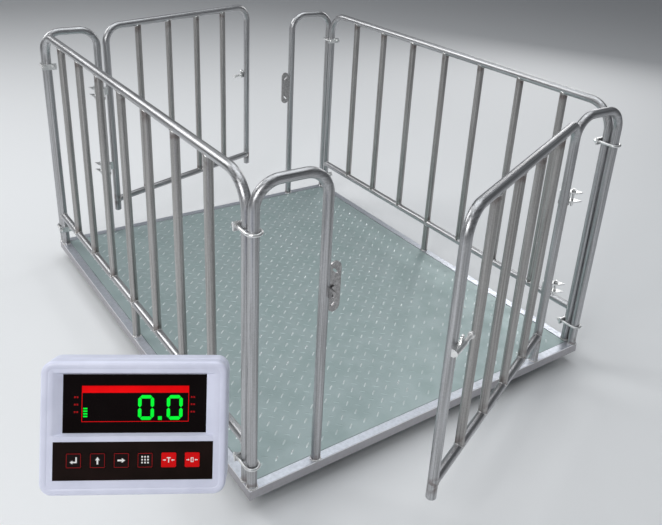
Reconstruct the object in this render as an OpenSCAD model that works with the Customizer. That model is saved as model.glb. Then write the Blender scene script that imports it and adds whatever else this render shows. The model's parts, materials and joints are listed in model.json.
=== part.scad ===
// Walk-through weighing scale for animals: a low platform on four load cells,
// two long fences, two short loops at each end, an outward-opening gate at
// each end and a weight indicator on a swivelling arm.
// Millimetres. +Z is up, +X is to the right and -Y is the front end.
// The origin is the centre of the deck's top face.

/* [Platform] */
// Overall width of the platform
platform_w = 1200; // [1000:10:1400]
// Overall length of the platform
platform_l = 1500; // [1300:10:1900]
// Height of the rim's top above the floor
platform_h = 70; // [66:1:90]
// Width of the rim's flat top band
rim_w = 25; // [20:1:40]
// Height of the rim's outer face
rim_h = 30; // [24:1:36]
// Open joint between the deck plate and the rim
deck_gap = 2.5; // [1:0.5:5]
// Thickness of the tread plate
deck_t = 5; // [4:0.5:5]

/* [Fences] */
// Height of the top rail's axis above the rim
fence_h = 790; // [600:10:1000]
// Height of the lower rail's axis above the rim
low_rail_h = 118; // [90:1:160]
// Outside diameter of the frame tube
tube_d = 25; // [22:0.5:30]
// Outside diameter of the upright bars
bar_d = 24; // [18:0.5:24]
// Wall thickness of every tube
tube_wall = 1.5; // [1:0.1:2.5]
// Number of upright bars in each fence
fence_bars = 7; // [5:2:9]
// Bend radius of the fence's top corners, to the tube's axis
fence_bend_r = 80; // [50:1:110]
// Axis distance between a fence post and the loop leg beside it
post_pitch = 28; // [27:0.5:32]
// Width of the end loops between leg axes
loop_w = 182; // [150:1:220]
// Bend radius of the loops and gates, to the tube's axis
loop_bend_r = 60; // [40:1:70]

/* [Gates] */
// Distance from the hinge axis to the hinge stile's axis
hinge_reach = 46; // [42:0.5:50]
// Distance that the gate stands outside the hinge axis
gate_offset = 10; // [8:0.5:12]
// Gap between the free stile's axis and the far leg's axis
latch_reach = 44; // [42:0.5:48]
// Number of upright bars in each gate
gate_bars = 4; // [3:1:5]
// Length of stile below the gate's lower rail
stile_drop = 42; // [20:1:60]
// Angle at which the front gate stands open
front_open = 23; // [0:1:60]
// Angle at which the back gate stands open
back_open = 17.5; // [0:0.5:60]
// Height of the lower hinge above the rim
hinge_low_h = 265; // [200:5:320]
// Height of the upper hinge above the rim
hinge_high_h = 560; // [500:5:640]
// Height of the slide bolt above the rim
latch_h = 490; // [440:5:520]
// Diameter of the slide bolt
latch_rod_d = 10; // [8:1:11]

/* [Clamps] */
// Height of the lower U-bolts above the rim
clamp_low_h = 66; // [50:1:90]
// Height of the upper U-bolts above the rim
clamp_high_h = 682; // [640:1:695]
// Diameter of the U-bolt's rod
u_rod_d = 8; // [6:1:8]

/* [Indicator] */
// Width of the indicator's shell
ind_w = 300; // [300:1:310]
// Height of the indicator's shell
ind_h = 220; // [220:1:230]
// Corner radius of the shell
ind_r = 21; // [15:1:25]
// Angle by which the face leans back from upright
ind_lean = 24; // [10:1:45]
// Angle by which the face turns to the left
ind_turn = 31; // [20:1:40]
// Height of the tilt hinge above the rim
tilt_h = 482; // [460:1:540]
// Height of the arm's clamp above the rim
clamp_h = 171; // [171:1:190]

/* [Hidden] */
$fn = 64;
tube_r = tube_d / 2;
bar_r = bar_d / 2;
upright_r = bar_r - 0.4;              // the bars stay just inside the rails' width
rim_top = 1;                          // the rim stands this far above the deck
flange_t = deck_t + rim_top;          // the rim's top flange ends level with the deck's underside
skirt_t = 5;
deck_under = -deck_t;
floor_z = rim_top - platform_h;
half_w = platform_w / 2;
half_l = platform_l / 2;
fence_x = half_w - tube_r;
loop_y = half_l - tube_r;
post_y = loop_y - post_pitch;
leg_x = fence_x - loop_w;             // inner leg of each loop
top_z = rim_top + fence_h;
low_z = rim_top + low_rail_h;
beam_w = 50;
beam_h = 30;
beam_t = 4;
beam_x = 330;
cross_y = 440;
cell_x = half_w - 100;
cell_l = 140;
cell_s = 32;
cell_end_y = half_l - 80;             // outer end of each load cell
foot_y = cell_end_y - 20;
spacer_t = 8;
cell_top = deck_under - spacer_t;
cell_bottom = cell_top - cell_s;
pad_r = 25;
pad_h = 12;
stud_r = 6;
bolt_r = 4;
gate_w = 2 * leg_x - hinge_reach - latch_reach;
gate_bottom = low_z - stile_drop;
latch_z = rim_top + latch_h;
latch_out = tube_r + 6.2;             // slide bolt's axis outside the stile's axis
rod_r = latch_rod_d / 2;
guide_r = 7;
guide_from = -26;
guide_to = 22;
slip = 0.05;                          // radial clearance of a running fit
ring_r = 15.5;
ring_h = 30;
ear_t = 4;                            // hinge ears
ear_w = 11;
ear_reach = 33;
ear_turn = 67;                        // from the open gate's far side round to the ears
hinge_bolt_r = 3.4;
back_rod_out = 4;                     // the back slide bolt stands this far out
u_rod_r = u_rod_d / 2;
u_bend_r = tube_r + u_rod_r + 0.1;
saddle_t = 5;
clamp_z = rim_top + clamp_h;
clamp_y = bar_places(2 * post_y, fence_bars)[0];
swivel_x = -(fence_x + 46);
tilt_z = rim_top + tilt_h;
arm_r = 11;
pin_r = 6;                            // the arm's swivel pin
lug_r = 16;
lug_t = 8;
hub_half = 29.7;                      // half the height of the arm's hub
fork_half = 38;                       // half the height of the clamp and its fork
fork_t = 6;
fork_plate_half = 12;                 // narrow enough to pass between the bolt heads
clamp_half = 17;                      // the bar clamp's reach either side of the bar
clamp_bolt_out = 18;
clamp_bolt_up = 24;
clamp_bolt_r = 3;
ind_d = 62;                           // depth of the whole shell
shell_split = -26;
shell_wall = 3;
pivot_z = -(ind_d + 16);              // tilt axis behind the face
pivot_x = -904.3;
pivot_y = -917.5;
pivot_r = 4;
barrel_r = 10;                        // the tilt hinge's round part
hinge_gap = 22;                       // from the middle to each lug of the shell
hinge_lug_t = 12;
bracket_reach = 46;
bracket_t = 4;
bracket_w = 44;
neck_half = 6;
knob_r = 12;
knob_t = 14;
window_w = 232;
window_h = 97;
window_y = 39;
panel_w = 257;
panel_h = 63;
panel_y = -53;
recess = 9;
key_size = 24;
key_pitch = 38;
key_y = -51.8;
key_gap = 0.35;
corners = [[-1, -1], [1, -1], [-1, 1], [1, 1]];

// ---- shared shapes ----

// A rounded rectangle with true arcs at its corners
module rounded(w, h, r) {
    square([w - 2 * r, h], center = true);
    square([w, h - 2 * r], center = true);
    for (sx = [-1, 1])
        for (sy = [-1, 1])
            translate([sx * (w / 2 - r), sy * (h / 2 - r)])
                circle(r);
}

// A rod bent into an arch in the XZ plane: two legs, two quarter rings, one rail
module arch(span, foot, top, bend, r) {
    for (s = [-1, 1])
        translate([s * span / 2, 0, foot])
            cylinder(h = top - bend - foot, r = r);
    for (s = [0, 1])
        mirror([s, 0, 0])
            translate([span / 2 - bend, 0, top - bend])
                rotate([90, 0, 0])
                    rotate_extrude(angle = 90)
                        translate([bend, 0])
                            circle(r);
    translate([-(span / 2 - bend), 0, top])
        rotate([0, 90, 0])
            cylinder(h = span - 2 * bend, r = r);
}

// The same arch as a hollow tube with open feet
module tube_arch(span, foot, top, bend) {
    difference() {
        arch(span, foot, top, bend, tube_r);
        arch(span, foot - 1, top, bend, tube_r - tube_wall);
    }
}

// A hollow upright tube between two heights
module upright(x, from, to, r) {
    translate([x, 0, from])
        difference() {
            cylinder(h = to - from, r = r);
            translate([0, 0, -1])
                cylinder(h = to - from + 2, r = r - tube_wall);
        }
}

// A solid rod along X
module rod_x(from, to, r) {
    translate([from, 0, 0])
        rotate([0, 90, 0])
            cylinder(h = to - from, r = r);
}

// A solid rod along Y
module rod_y(from, to, r) {
    translate([0, from, 0])
        rotate([-90, 0, 0])
            cylinder(h = to - from, r = r);
}

// A hexagonal nut or bolt head standing on z = 0
module hex(across_flats, h) {
    cylinder(h = h, r = across_flats / sqrt(3), $fn = 6);
}

// A box given by its lowest and highest corners
module block(low, high) {
    translate(low)
        cube(high - low);
}

// ---- platform ----

module base_rim() {
    color([0.72, 0.74, 0.80])
        difference() {
            block([-half_w, -half_l, rim_top - rim_h], [half_w, half_l, rim_top]);
            block([-half_w + skirt_t, -half_l + skirt_t, rim_top - rim_h - 1],
                  [half_w - skirt_t, half_l - skirt_t, rim_top - flange_t]);
            block([-half_w + rim_w, -half_l + rim_w, rim_top - rim_h - 1],
                  [half_w - rim_w, half_l - rim_w, rim_top + 1]);
        }
}

module deck_plate() {
    edge_x = half_w - rim_w - deck_gap;
    edge_y = half_l - rim_w - deck_gap;
    color([0.60, 0.67, 0.67])
        block([-edge_x, -edge_y, deck_under], [edge_x, edge_y, 0]);
}

// A channel with its open side down, along Y
module channel_y(x, from, to) {
    difference() {
        block([x - beam_w / 2, from, deck_under - beam_h], [x + beam_w / 2, to, deck_under]);
        block([x - beam_w / 2 + beam_t, from - 1, deck_under - beam_h - 1],
              [x + beam_w / 2 - beam_t, to + 1, deck_under - beam_t]);
    }
}

module long_beams() {
    color([0.62, 0.63, 0.65])
        for (s = [-1, 1])
            channel_y(s * beam_x, -half_l + skirt_t, half_l - skirt_t);
}

// A channel with its open side down, along X
module channel_x(y, from, to) {
    rotate([0, 0, -90])
        channel_y(-y, from, to);
}

module cross_beams() {
    side = beam_x - beam_w / 2;
    outer = beam_x + beam_w / 2;
    color([0.62, 0.63, 0.65])
        for (y = [-cross_y, 0, cross_y]) {
            channel_x(y, -side, side);
            channel_x(y, outer, half_w - skirt_t);
            channel_x(y, -half_w + skirt_t, -outer);
        }
}

// A beam load cell for the corner (sx, sy): two bolt holes inboard, a foot bore
// outboard and the milled pocket that lets it bend
module load_cell(sx, sy) {
    color([0.78, 0.79, 0.80])
        translate([sx * cell_x, sy * cell_end_y, cell_bottom])
            difference() {
                block([-cell_s / 2, sy > 0 ? -cell_l : 0, 0],
                      [cell_s / 2, sy > 0 ? 0 : cell_l, cell_s]);
                for (y = bolt_rows())
                    translate([0, -sy * y, -1])
                        cylinder(h = cell_s + 2, r = bolt_r + 0.25);
                translate([0, -sy * 20, -1])
                    cylinder(h = cell_s - 6 + 1, r = stud_r + slip);
                for (y = [58, 74])
                    translate([0, -sy * y, cell_s / 2])
                        rod_x(-cell_s, cell_s, 10);
            }
}

function bolt_rows() = [cell_l - 16, cell_l - 41];

module cell_spacers() {
    color([0.62, 0.63, 0.65])
        for (c = corners)
            translate([c.x * cell_x, c.y * cell_end_y, cell_top])
                difference() {
                    block([-30, c.y > 0 ? -cell_l : cell_l - 55, 0],
                          [30, c.y > 0 ? 55 - cell_l : cell_l, spacer_t]);
                    for (y = bolt_rows())
                        translate([0, -c.y * y, -1])
                            cylinder(h = spacer_t - 1, r = bolt_r + 0.25);
                }
}

module cell_bolts() {
    color([0.75, 0.76, 0.78])
        for (c = corners)
            for (y = bolt_rows())
                translate([c.x * cell_x, c.y * (cell_end_y - y), cell_bottom]) {
                    cylinder(h = cell_s + spacer_t - 3, r = bolt_r);
                    translate([0, 0, -5.5])
                        hex(13, 5.5);
                }
}

module foot_studs() {
    color([0.75, 0.76, 0.78])
        for (c = corners)
            translate([c.x * cell_x, c.y * foot_y, 0]) {
                translate([0, 0, floor_z + pad_h])
                    cylinder(h = cell_bottom - floor_z - pad_h + 22, r = stud_r);
                translate([0, 0, floor_z + pad_h])
                    cylinder(h = 4, r = 16);
                translate([0, 0, cell_bottom - 7])
                    hex(18, 7);
            }
}

module foot_pads() {
    color([0.13, 0.13, 0.14])
        for (c = corners)
            translate([c.x * cell_x, c.y * foot_y, floor_z])
                rotate_extrude()
                    polygon([[0, 0], [pad_r, 0], [pad_r, 5], [pad_r - 4, pad_h], [0, pad_h]]);
}

// The sealed box that joins the four load cells, with a gland for each
module junction_box() {
    box_y = 220;
    color([0.35, 0.36, 0.38]) {
        block([-65, box_y - 45, deck_under - 26], [65, box_y + 45, deck_under]);
        for (sx = [-1, 1])
            for (dy = [-25, 25])
                translate([sx * 65, box_y + dy, deck_under - 13])
                    rod_x(sx > 0 ? 0 : -12, sx > 0 ? 12 : 0, 7);
    }
}

// ---- fences ----

// Places a fence drawn in the XZ plane along the platform's side s
module fence_side(s) {
    translate([s * fence_x, 0, 0])
        rotate([0, 0, 90])
            children();
}

function bar_places(span, count) = [for (i = [1:count]) -span / 2 + i * span / (count + 1)];

module fence_frame(s) {
    color([0.66, 0.65, 0.66])
        fence_side(s)
            tube_arch(2 * post_y, rim_top, top_z, fence_bend_r);
}

// A lower rail between two stiles of an arch, notched to fit against them
module low_rail(span, z) {
    difference() {
        translate([0, 0, z])
            difference() {
                rod_x(-span / 2, span / 2, bar_r);
                rod_x(-span / 2 - 1, span / 2 + 1, bar_r - tube_wall);
            }
        for (s = [-1, 1])
            translate([s * span / 2, 0, z - tube_d])
                cylinder(h = 2 * tube_d, r = tube_r);
    }
}

module fence_rail(s) {
    color([0.66, 0.66, 0.68])
        fence_side(s)
            low_rail(2 * post_y, low_z);
}

// Bars between the lower and the top rail, their ends notched around the rails
module bars(span, count, low, high) {
    difference() {
        for (x = bar_places(span, count))
            upright(x, low, high, upright_r);
        translate([0, 0, low])
            rod_x(-span / 2, span / 2, bar_r);
        translate([0, 0, high])
            rod_x(-span / 2, span / 2, tube_r);
    }
}

// The fence's bars; the middle one goes on below the lower rail to the rim
module fence_upright_bars(s) {
    color([0.62, 0.61, 0.62])
        fence_side(s) {
            bars(2 * post_y, fence_bars, low_z, top_z);
            difference() {
                upright(0, rim_top, low_z, bar_r - 0.4);
                translate([0, 0, low_z])
                    rod_x(-tube_d, tube_d, bar_r);
            }
        }
}

module end_loop(sx, sy) {
    color([0.68, 0.67, 0.68])
        translate([sx * (leg_x + loop_w / 2), sy * loop_y, 0])
            tube_arch(loop_w, rim_top, top_z, loop_bend_r);
}

// ---- clamps that tie each loop to its fence post ----

module at_clamps() {
    for (c = corners)
        for (h = [clamp_low_h, clamp_high_h])
            translate([c[0] * fence_x, c[1] * loop_y, rim_top + h])
                rotate([0, 0, c[1] > 0 ? 180 : 0])
                    children();
}

// A U-bolt around the loop's leg, its arms reaching past the fence post
module u_bolt() {
    arm = post_pitch + tube_r + saddle_t + 12;
    rotate([0, 0, 180])
        rotate_extrude(angle = 180)
            translate([u_bend_r, 0])
                circle(u_rod_r);
    for (s = [-1, 1])
        translate([s * u_bend_r, 0, 0])
            rod_y(0, arm, u_rod_r);
}

module u_bolts() {
    color([0.82, 0.83, 0.84])
        at_clamps()
            u_bolt();
}

// The saddle plate against the fence post with its two nuts
module saddle() {
    face = post_pitch + tube_r;
    difference() {
        union() {
            block([-u_bend_r - 8, face, -10], [u_bend_r + 8, face + saddle_t, 10]);
            for (s = [-1, 1])
                translate([s * u_bend_r, face + saddle_t, 0])
                    rotate([-90, 0, 0])
                        hex(13, 6.5);
        }
        for (s = [-1, 1])
            translate([s * u_bend_r, 0, 0])
                rod_y(face - 1, face + saddle_t + 10, u_rod_r + slip);
    }
}

module u_bolt_saddles() {
    color([0.80, 0.81, 0.82])
        at_clamps()
            saddle();
}

// ---- gates, drawn for the front end and turned half round for the back ----

// The origin is the hinge axis at the platform's frame height; the gate lies
// along -X when it is shut
module on_hinge(end) {
    rotate([0, 0, end > 0 ? 180 : 0])
        translate([leg_x, -loop_y, 0])
            rotate([0, 0, end > 0 ? back_open : front_open])
                children();
}

// Places what is drawn about the gate's centre
module on_gate(end) {
    on_hinge(end)
        translate([-hinge_reach - gate_w / 2, -gate_offset, 0])
            children();
}

// Places what is drawn about the free stile's axis at the slide bolt's height
module on_free_stile(end) {
    on_gate(end)
        translate([-gate_w / 2, 0, latch_z])
            children();
}

module gate_frame(end) {
    color([0.68, 0.67, 0.68])
        on_gate(end)
            tube_arch(gate_w, gate_bottom, top_z, loop_bend_r);
}

module gate_rail(end) {
    color([0.74, 0.74, 0.76])
        on_gate(end)
            low_rail(gate_w, low_z);
}

module gate_upright_bars(end) {
    color([0.62, 0.61, 0.62])
        on_gate(end)
            bars(gate_w, gate_bars, low_z, top_z);
}

// A pointed ear with the hinge bolt's hole, standing out from the ring
module ear() {
    linear_extrude(ear_t)
        difference() {
            polygon([[ring_r - 3, -ear_w], [ring_r + 13, -ear_w], [ring_r + ear_reach, 0],
                     [ring_r + 13, ear_w], [ring_r - 3, ear_w]]);
            translate([ring_r + 7, 0])
                circle(hinge_bolt_r);
        }
}

// One hinge strap: a ring that turns on the loop's leg, a web to the gate's
// stile, and two ears closed by a bolt
module hinge_strap() {
    difference() {
        union() {
            translate([0, 0, -ring_h / 2])
                cylinder(h = ring_h, r = ring_r);
            block([-hinge_reach, -gate_offset + 0.5, -ring_h / 2], [-8, -gate_offset + 5.5, ring_h / 2]);
            for (z = [-ring_h / 2, ring_h / 2 - ear_t])
                translate([0, 0, z])
                    rotate([0, 0, -ear_turn])
                        ear();
        }
        translate([0, 0, -ring_h])
            cylinder(h = 2 * ring_h, r = tube_r + slip);
        translate([-hinge_reach, -gate_offset, -ring_h])
            cylinder(h = 2 * ring_h, r = tube_r);
    }
    rotate([0, 0, -ear_turn])
        translate([ring_r + 7, 0, -ring_h / 2 - 14]) {
            cylinder(h = ring_h + 22, r = hinge_bolt_r);
            translate([0, 0, 8])
                hex(11, 6);
            translate([0, 0, ring_h + 14])
                hex(11, 5);
        }
}

module hinge_straps(end) {
    color([0.86, 0.86, 0.86])
        on_hinge(end)
            for (h = [hinge_low_h, hinge_high_h])
                translate([0, 0, rim_top + h])
                    hinge_strap();
}

// Rings fixed to the hinge legs, which carry the gates' weight
module hinge_collars() {
    color([0.70, 0.70, 0.71])
        for (end = [0, 1])
            on_hinge(end)
                for (h = [hinge_low_h, hinge_high_h])
                    translate([0, 0, rim_top + h - ring_h / 2 - 10.3])
                        difference() {
                            cylinder(h = 10, r = ring_r);
                            translate([0, 0, -1])
                                cylinder(h = 12, r = tube_r);
                        }
}

// The slide bolt's guide: a plate on the free stile, a sleeve and a padlock eye
module latch_guide(end) {
    color([0.85, 0.86, 0.86])
        on_free_stile(end)
            difference() {
                union() {
                    block([guide_from, -latch_out, -9], [guide_to, -latch_out + 8, 9]);
                    translate([0, -latch_out, 0])
                        rod_x(guide_from, guide_to, guide_r);
                    block([guide_to - 16, -latch_out + 1, 8], [guide_to, -latch_out + 5, 16]);
                    translate([guide_to - 8, 0, 16])
                        rod_y(-latch_out + 1, -latch_out + 5, 8);
                }
                translate([0, -latch_out, 0])
                    rod_x(guide_from - 1, guide_to + 1, rod_r + slip);
                translate([0, 0, -30])
                    cylinder(h = 60, r = tube_r);
                translate([guide_to - 8, 0, 17])
                    rod_y(-latch_out - 5, 0, 3.5);
            }
}

module latch_rod(end) {
    out = end > 0 ? back_rod_out : 0;
    color([0.90, 0.91, 0.92])
        on_free_stile(end)
            translate([-out, -latch_out, 0]) {
                rod_x(guide_from, 54, rod_r);
                translate([54, 0, 0])
                    rotate([0, 90, 0])
                        rotate_extrude()
                            polygon([[0, -1], [7, 0], [8, 2], [8, 7], [6.5, 9], [0, 9]]);
            }
}

// The keeper on the latch leg: a slotted stop plate behind the gate, and an eye
// outside the leg that takes the slide bolt
module keeper(end) {
    stop_from = 9;
    stop_to = 48;
    eye_x = 7;
    eye_y = -gate_offset - latch_out;
    color([0.84, 0.85, 0.85])
        rotate([0, 0, end > 0 ? 180 : 0])
            translate([-leg_x, -loop_y, latch_z]) {
                difference() {
                    union() {
                        block([stop_from, 3, -50], [stop_to, 8, 50]);
                        for (z = [-50, 50])
                            translate([(stop_from + stop_to) / 2 + 3, 0, z])
                                rod_y(3, 8, 16);
                        block([eye_x - 2.5, eye_y - 9, -13], [eye_x + 2.5, -9, 13]);
                    }
                    translate([0, 0, -80])
                        cylinder(h = 160, r = tube_r);
                    translate([0, eye_y, 0])
                        rod_x(-20, 20, rod_r + 1.2);
                    for (s = [-1, 1])
                        translate([31, 0, s * 42])
                            rotate([0, s * 45, 0])
                                slot_y(14, 3);
                }
                translate([25, -2, 0])
                    rotate([-90, 0, 0])
                        hex(11, 6);
            }
}

// A slot cut through along Y, with its length along X
module slot_y(length, r) {
    block([-length / 2, -20, -r], [length / 2, 20, r]);
    for (s = [-1, 1])
        translate([s * length / 2, 0, 0])
            rod_y(-20, 20, r);
}

// ---- indicator ----

// Brings the clamp's centre on the left fence's first bar to the origin
module on_clamp() {
    translate([-fence_x, clamp_y, clamp_z])
        children();
}

// Places of the four bolts that pull the clamp's halves together
module at_clamp_bolts() {
    on_clamp()
        for (y = [-clamp_bolt_out, clamp_bolt_out])
            for (z = [-clamp_bolt_up, clamp_bolt_up])
                translate([0, y, z])
                    children();
}

// The clamp's two halves on the left fence's first bar
module bar_clamp() {
    half_y = clamp_bolt_out + 7;
    color([0.50, 0.51, 0.53])
        difference() {
            on_clamp()
                difference() {
                    block([-clamp_half, -half_y, -fork_half], [clamp_half, half_y, fork_half]);
                    translate([0, 0, -fork_half - 1])
                        cylinder(h = 2 * fork_half + 2, r = upright_r);
                    block([-1.5, -half_y - 1, -fork_half - 1], [1.5, half_y + 1, fork_half + 1]);
                }
            at_clamp_bolts()
                rod_x(-40, 40, clamp_bolt_r + slip);
        }
}

// Brings the arm's swivel axis to the origin
module on_swivel() {
    translate([swivel_x, clamp_y, clamp_z])
        children();
}

// The fork on the clamp's outer face that carries the arm between its lugs
module swivel_fork() {
    face = -fence_x - clamp_half - swivel_x;
    color([0.50, 0.51, 0.53])
        on_swivel()
            difference() {
                union() {
                    block([face - fork_t, -fork_plate_half, -fork_half], [face, fork_plate_half, fork_half]);
                    for (z = [-fork_half, fork_half - lug_t])
                        translate([0, 0, z]) {
                            block([0, -lug_r, 0], [face - fork_t + 1, lug_r, lug_t]);
                            cylinder(h = lug_t, r = lug_r);
                        }
                }
                translate([0, 0, -fork_half - 1])
                    cylinder(h = 2 * fork_half + 2, r = pin_r);
            }
}

// The pin that the arm turns on, with its head and nut
module swivel_pin() {
    color([0.82, 0.83, 0.84])
        on_swivel() {
            translate([0, 0, -fork_half - 4])
                cylinder(h = 2 * fork_half + 10, r = pin_r);
            translate([0, 0, -fork_half - 6])
                hex(16, 6);
            translate([0, 0, fork_half])
                hex(16, 8);
        }
}

module clamp_bolts() {
    color([0.82, 0.83, 0.84])
        at_clamp_bolts() {
            rod_x(-clamp_half - 1, clamp_half + 1, clamp_bolt_r);
            for (x = [-clamp_half - 4, clamp_half])
                translate([x, 0, 0])
                    rotate([0, 90, 0])
                        hex(10, 4);
        }
}

// Brings the indicator's own axes to its place: X across the face, Y up the
// face, Z out of it, with the face at z = 0
module on_pivot() {
    translate([pivot_x, pivot_y, tilt_z])
        rotate([0, 0, -ind_turn])
            children();
}

module on_indicator() {
    on_pivot()
        rotate([90 - ind_lean, 0, 0])
            translate([0, 0, -pivot_z])
                children();
}

// The arm: a hub on the swivel pin and a tube that climbs to the bracket's plate
module swivel_arm() {
    from = [swivel_x, clamp_y, clamp_z];
    plate = [pivot_x + bracket_reach * sin(ind_turn), pivot_y + bracket_reach * cos(ind_turn), tilt_z];
    way = plate - from;
    color([0.60, 0.61, 0.63])
        difference() {
            on_swivel() {
                translate([0, 0, -hub_half])
                    cylinder(h = 2 * hub_half, r = lug_r);
                rotate([0, -atan2(way.z, norm([way.x, way.y])), atan2(way.y, way.x)])
                    rod_x(0, norm(way) + 2 * arm_r, arm_r);
            }
            on_swivel()
                translate([0, 0, -2 * hub_half])
                    cylinder(h = 4 * hub_half, r = pin_r + slip);
            on_pivot()
                block([-200, -200, -100], [200, bracket_reach, 100]);
        }
}

// The tilt bracket: a barrel between the shell's lugs, a neck and a plate on the arm's end
module tilt_bracket() {
    barrel = hinge_gap - 0.3;
    color([0.55, 0.56, 0.58])
        on_pivot()
            difference() {
                union() {
                    rod_x(-barrel, barrel, barrel_r);
                    block([-barrel, 0, -neck_half], [barrel, bracket_reach - bracket_t + 1, neck_half]);
                    block([-bracket_w / 2, bracket_reach - bracket_t, -bracket_w / 2],
                          [bracket_w / 2, bracket_reach, bracket_w / 2]);
                }
                rod_x(-barrel - 1, barrel + 1, pivot_r + slip);
            }
}

module front_shell() {
    color([0.80, 0.80, 0.90])
        on_indicator()
            difference() {
                translate([0, 0, shell_split])
                    linear_extrude(-shell_split)
                        rounded(ind_w, ind_h, ind_r);
                translate([0, 0, shell_split - 1])
                    linear_extrude(-shell_split + 1 - recess - shell_wall)
                        rounded(ind_w - 2 * shell_wall, ind_h - 2 * shell_wall, ind_r - shell_wall);
                display_recess();
                block([-window_w / 2, window_y - window_h / 2, -30],
                      [window_w / 2, window_y + window_h / 2, 0]);
                block([-panel_w / 2, panel_y - panel_h / 2, -30], [panel_w / 2, panel_y + panel_h / 2, 1]);
            }
}

// The sloping hood around the window: wide at the face, window-sized at the bottom
module display_recess() {
    cheek = 16;
    hull() {
        translate([0, window_y, -recess])
            linear_extrude(0.01)
                square([window_w, window_h], center = true);
        translate([0, window_y, 0.5])
            linear_extrude(0.01)
                square([window_w + 2 * cheek, window_h + 10], center = true);
    }
}

// The rear shell with the two lugs of the tilt hinge on its back
module rear_shell() {
    color([0.76, 0.76, 0.86])
        on_indicator() {
            difference() {
                translate([0, 0, -ind_d])
                    linear_extrude(ind_d + shell_split)
                        rounded(ind_w, ind_h, ind_r);
                translate([0, 0, -ind_d + shell_wall])
                    linear_extrude(ind_d)
                        rounded(ind_w - 2 * shell_wall, ind_h - 2 * shell_wall, ind_r - shell_wall);
            }
            for (s = [0, 1])
                mirror([s, 0, 0])
                    hinge_lug();
        }
}

// One lug with its bore for the knob's stem
module hinge_lug() {
    difference() {
        union() {
            block([hinge_gap, 1 - barrel_r, pivot_z], [hinge_gap + hinge_lug_t, barrel_r - 1, 1 - ind_d]);
            translate([0, 0, pivot_z])
                rod_x(hinge_gap, hinge_gap + hinge_lug_t, barrel_r);
        }
        translate([0, 0, pivot_z])
            rod_x(hinge_gap - 1, hinge_gap + hinge_lug_t + 1, pivot_r);
    }
}

// Knobs whose stems pass through the shell's lugs and turn in the bracket's barrel
module tilt_knobs() {
    stem = hinge_gap + hinge_lug_t;
    color([0.10, 0.10, 0.11])
        on_indicator()
            translate([0, 0, pivot_z])
                for (s = [0, 1])
                    mirror([s, 0, 0]) {
                        rod_x(1, stem, pivot_r);
                        rod_x(stem, stem + knob_t, knob_r);
                    }
}

module display_window() {
    color([0.05, 0.02, 0.02])
        on_indicator()
            block([-window_w / 2 + 0.2, window_y - window_h / 2 + 0.2, -recess - 3],
                  [window_w / 2 - 0.2, window_y + window_h / 2 - 0.2, -recess]);
}

module display_board() {
    color([0.10, 0.30, 0.14])
        on_indicator()
            block([-105, window_y - 42, -recess - 9], [105, window_y + 42, -recess - 4]);
}

function key_x(i) = (i - 3.5) * key_pitch;

module key_panel() {
    color([0.09, 0.03, 0.03])
        on_indicator()
            difference() {
                block([-panel_w / 2 + 0.2, panel_y - panel_h / 2 + 0.2, -6],
                      [panel_w / 2 - 0.2, panel_y + panel_h / 2 - 0.2, -1]);
                for (i = [1:6])
                    translate([key_x(i), key_y, -7])
                        linear_extrude(7)
                            square(key_size + 2 * key_gap, center = true);
            }
}

module key(i) {
    color(i > 4 ? [0.85, 0.05, 0.05] : [0.12, 0.05, 0.05])
        on_indicator()
            translate([key_x(i), key_y, -6])
                linear_extrude(5.8)
                    rounded(key_size, key_size, 2);
}

module control_board() {
    color([0.08, 0.32, 0.16])
        on_indicator()
            block([-130, -95, -22], [130, -10, -20]);
}

module battery() {
    color([0.20, 0.20, 0.22])
        on_indicator()
            block([-70, -20, -ind_d + shell_wall], [70, 50, -ind_d + shell_wall + 30]);
}

base_rim();
deck_plate();
long_beams();
cross_beams();
load_cell(-1, -1);  // load_cell_front_left
load_cell(1, -1);  // load_cell_front_right
load_cell(-1, 1);  // load_cell_back_left
load_cell(1, 1);  // load_cell_back_right
cell_spacers();
cell_bolts();
foot_studs();
foot_pads();
junction_box();
fence_frame(-1);  // left_fence_frame
fence_rail(-1);  // left_fence_rail
fence_upright_bars(-1);  // left_fence_bars
fence_frame(1);  // right_fence_frame
fence_rail(1);  // right_fence_rail
fence_upright_bars(1);  // right_fence_bars
end_loop(-1, -1);  // loop_front_left
end_loop(1, -1);  // loop_front_right
end_loop(-1, 1);  // loop_back_left
end_loop(1, 1);  // loop_back_right
u_bolts();
u_bolt_saddles();
hinge_collars();
keeper(0);  // front_keeper
keeper(1);  // back_keeper
gate_frame(0);  // front_gate_frame
gate_rail(0);  // front_gate_rail
gate_upright_bars(0);  // front_gate_bars
hinge_straps(0);  // front_hinge_straps
latch_guide(0);  // front_latch_guide
latch_rod(0);  // front_latch_rod
gate_frame(1);  // back_gate_frame
gate_rail(1);  // back_gate_rail
gate_upright_bars(1);  // back_gate_bars
hinge_straps(1);  // back_hinge_straps
latch_guide(1);  // back_latch_guide
latch_rod(1);  // back_latch_rod
bar_clamp();
clamp_bolts();
swivel_fork();
swivel_pin();
swivel_arm();
tilt_bracket();
front_shell();
rear_shell();
display_window();
display_board();
key_panel();
control_board();
battery();
tilt_knobs();
key(1);  // key_1
key(2);  // key_2
key(3);  // key_3
key(4);  // key_4
key(5);  // key_5
key(6);  // key_6
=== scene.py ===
import json
import math

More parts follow.
